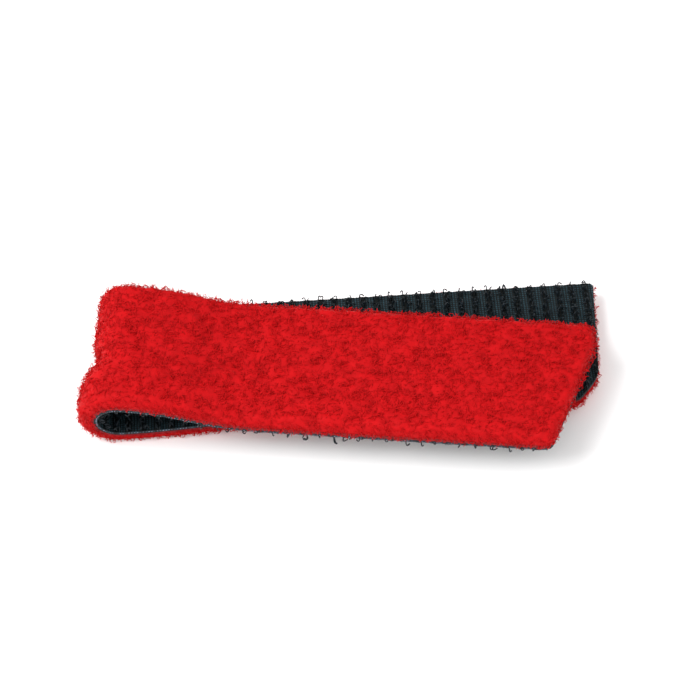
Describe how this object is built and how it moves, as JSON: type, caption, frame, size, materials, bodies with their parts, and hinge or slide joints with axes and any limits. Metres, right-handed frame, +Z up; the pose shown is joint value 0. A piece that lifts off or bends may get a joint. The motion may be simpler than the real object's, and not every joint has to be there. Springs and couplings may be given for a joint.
{
  "type": "hook and loop wrist strap",
  "caption": "Soft strap of back-to-back hook and loop tape, deep red pile outside and black hooks inside, folded in half; it opens flat or closes into a ring round a wrist.",
  "frame": {"origin": "middle of the folded strap's box, on the surface it lies on", "axes": "+X from the fold to the free ends, +Y across the strap to its far edge, +Z up"},
  "size_m": [0.0908, 0.0378, 0.0146],
  "materials": {
    "red_pile": "deep napped loop pile",
    "red_loop_ground": "woven ground",
    "black_hook_ground": "woven ground, pale yarn at the selvage",
    "black_hooks": "fine plastic hooks"
  },
  "bodies": {
    "lower_tip": {"pile_lower_tip": "red_pile", "loop_tape_lower_tip": "red_loop_ground", "hook_tape_lower_tip": "black_hook_ground", "hooks_lower_tip": "black_hooks"},
    "lower_span": {"pile_lower_span": "red_pile", "loop_tape_lower_span": "red_loop_ground", "hook_tape_lower_span": "black_hook_ground", "hooks_lower_span": "black_hooks"},
    "lower_neck": {"pile_lower_neck": "red_pile", "loop_tape_lower_neck": "red_loop_ground", "hook_tape_lower_neck": "black_hook_ground", "hooks_lower_neck": "black_hooks"},
    "fold_1": {"pile_fold_1": "red_pile", "loop_tape_fold_1": "red_loop_ground", "hook_tape_fold_1": "black_hook_ground", "hooks_fold_1": "black_hooks"},
    "fold_2": {"pile_fold_2": "red_pile", "loop_tape_fold_2": "red_loop_ground", "hook_tape_fold_2": "black_hook_ground", "hooks_fold_2": "black_hooks"},
    "fold_3": {"pile_fold_3": "red_pile", "loop_tape_fold_3": "red_loop_ground", "hook_tape_fold_3": "black_hook_ground", "hooks_fold_3": "black_hooks"},
    "fold_4": {"pile_fold_4": "red_pile", "loop_tape_fold_4": "red_loop_ground", "hook_tape_fold_4": "black_hook_ground", "hooks_fold_4": "black_hooks"},
    "fold_5": {"pile_fold_5": "red_pile", "loop_tape_fold_5": "red_loop_ground", "hook_tape_fold_5": "black_hook_ground", "hooks_fold_5": "black_hooks"},
    "fold_6": {"pile_fold_6": "red_pile", "loop_tape_fold_6": "red_loop_ground", "hook_tape_fold_6": "black_hook_ground", "hooks_fold_6": "black_hooks"},
    "fold_7": {"pile_fold_7": "red_pile", "loop_tape_fold_7": "red_loop_ground", "hook_tape_fold_7": "black_hook_ground", "hooks_fold_7": "black_hooks"},
    "upper_neck": {"pile_upper_neck": "red_pile", "loop_tape_upper_neck": "red_loop_ground", "hook_tape_upper_neck": "black_hook_ground", "hooks_upper_neck": "black_hooks"},
    "upper_span": {"pile_upper_span": "red_pile", "loop_tape_upper_span": "red_loop_ground", "hook_tape_upper_span": "black_hook_ground", "hooks_upper_span": "black_hooks"},
    "upper_tip": {"pile_upper_tip": "red_pile", "loop_tape_upper_tip": "red_loop_ground", "hook_tape_upper_tip": "black_hook_ground", "hooks_upper_tip": "black_hooks"}
  },
  "joints": [
    {"name": "wrap_lower_tip", "type": "hinge", "parent": "lower_span", "child": "lower_tip", "pos_m": [0.02104, 0.0046, 0.0038], "axis": [0.075, -0.9972, 0], "range_deg": [0, 36.01]},
    {"name": "wrap", "type": "hinge", "parent": "lower_span", "child": "lower_neck", "pos_m": [-0.01878, 0.00161, 0.00369], "axis": [-0.0749, 0.9972, -0.0033], "range_deg": [0, 33]},
    {"name": "wrap_lower_shoulder", "type": "hinge", "parent": "lower_neck", "child": "fold_1", "pos_m": [-0.03096, 0.00069, 0.00278], "axis": [0, 1, 0], "range_deg": [0, 33]},
    {"name": "unfold", "type": "hinge", "parent": "fold_1", "child": "fold_2", "pos_m": [-0.03886, 0.00011, 0.00157], "axis": [0, -1, 0], "range_deg": [0, 60], "deforming": ["pile_fold_2"]},
    {"name": "wrap_fold_1", "type": "hinge", "parent": "fold_2", "child": "fold_3", "pos_m": [-0.04128, -0.00008, 0.00295], "axis": [0, -1, 0], "range_deg": [0, 44.01], "deforming": ["pile_fold_3"]},
    {"name": "unfold_2", "type": "hinge", "parent": "fold_3", "child": "fold_4", "pos_m": [-0.04267, -0.00027, 0.00536], "axis": [0, -1, 0], "range_deg": [0, 60], "deforming": ["pile_fold_4"]},
    {"name": "wrap_fold_2", "type": "hinge", "parent": "fold_4", "child": "fold_5", "pos_m": [-0.04267, -0.00045, 0.00804], "axis": [0, -1, 0], "range_deg": [0, 44.01], "deforming": ["pile_fold_5"]},
    {"name": "unfold_3", "type": "hinge", "parent": "fold_5", "child": "fold_6", "pos_m": [-0.04128, -0.00064, 0.01046], "axis": [0, -1, 0], "range_deg": [0, 60], "deforming": ["pile_fold_6"]},
    {"name": "wrap_fold_3", "type": "hinge", "parent": "fold_6", "child": "fold_7", "pos_m": [-0.03886, -0.00083, 0.01183], "axis": [0, -1, 0], "range_deg": [0, 44.01]},
    {"name": "wrap_upper_shoulder", "type": "hinge", "parent": "fold_7", "child": "upper_neck", "pos_m": [-0.03104, -0.00141, 0.01029], "axis": [0, 1, 0], "range_deg": [0, 33]},
    {"name": "wrap_upper_flank", "type": "hinge", "parent": "upper_neck", "child": "upper_span", "pos_m": [-0.01912, -0.00233, 0.00767], "axis": [0.0743, 0.9972, -0.0098], "range_deg": [0, 33]},
    {"name": "wrap_upper_tip", "type": "hinge", "parent": "upper_span", "child": "upper_tip", "pos_m": [0.02074, -0.00532, 0.0073], "axis": [0.075, 0.9972, 0], "range_deg": [0, 36.01]}
  ],
  "couplings": [
    {"joint": "wrap_lower_tip", "follows": "wrap", "ratio": 1.0909},
    {"joint": "wrap_lower_shoulder", "follows": "wrap", "ratio": 1},
    {"joint": "wrap_fold_1", "follows": "wrap", "ratio": 1.3333},
    {"joint": "unfold_2", "follows": "unfold", "ratio": 1},
    {"joint": "wrap_fold_2", "follows": "wrap", "ratio": 1.3333},
    {"joint": "unfold_3", "follows": "unfold", "ratio": 1},
    {"joint": "wrap_fold_3", "follows": "wrap", "ratio": 1.3333},
    {"joint": "wrap_upper_shoulder", "follows": "wrap", "ratio": 1},
    {"joint": "wrap_upper_flank", "follows": "wrap", "ratio": 1},
    {"joint": "wrap_upper_tip", "follows": "wrap", "ratio": 1.0909}
  ]
}
